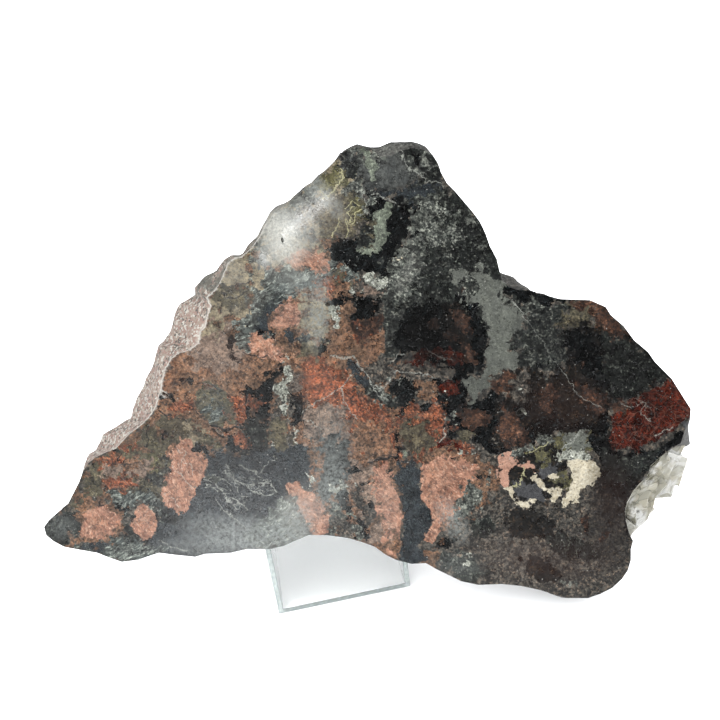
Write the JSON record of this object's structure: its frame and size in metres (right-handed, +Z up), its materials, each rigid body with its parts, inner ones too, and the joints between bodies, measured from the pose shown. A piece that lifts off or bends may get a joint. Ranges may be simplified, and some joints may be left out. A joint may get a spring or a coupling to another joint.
{
  "type": "skarn specimen on a clear display stand",
  "caption": "Polished slice of banded garnet skarn with broken sides and milky crystals, leaning back on a clear open-fronted display box.",
  "frame": {"origin": "centre of the display box's base, on the surface that it stands on", "axes": "+Z up, +X to the right along the box's front edge, -Y out of the box's open side towards the viewer"},
  "size_m": [0.2489, 0.1099, 0.1661],
  "materials": {
    "skarn": "front polished to a satin gloss, other sides broken and matte",
    "clear_acrylic": "clear, glossy, polished edges"
  },
  "bodies": {
    "root": {"skarn": "skarn", "stand": "clear_acrylic"}
  },
  "joints": []
}
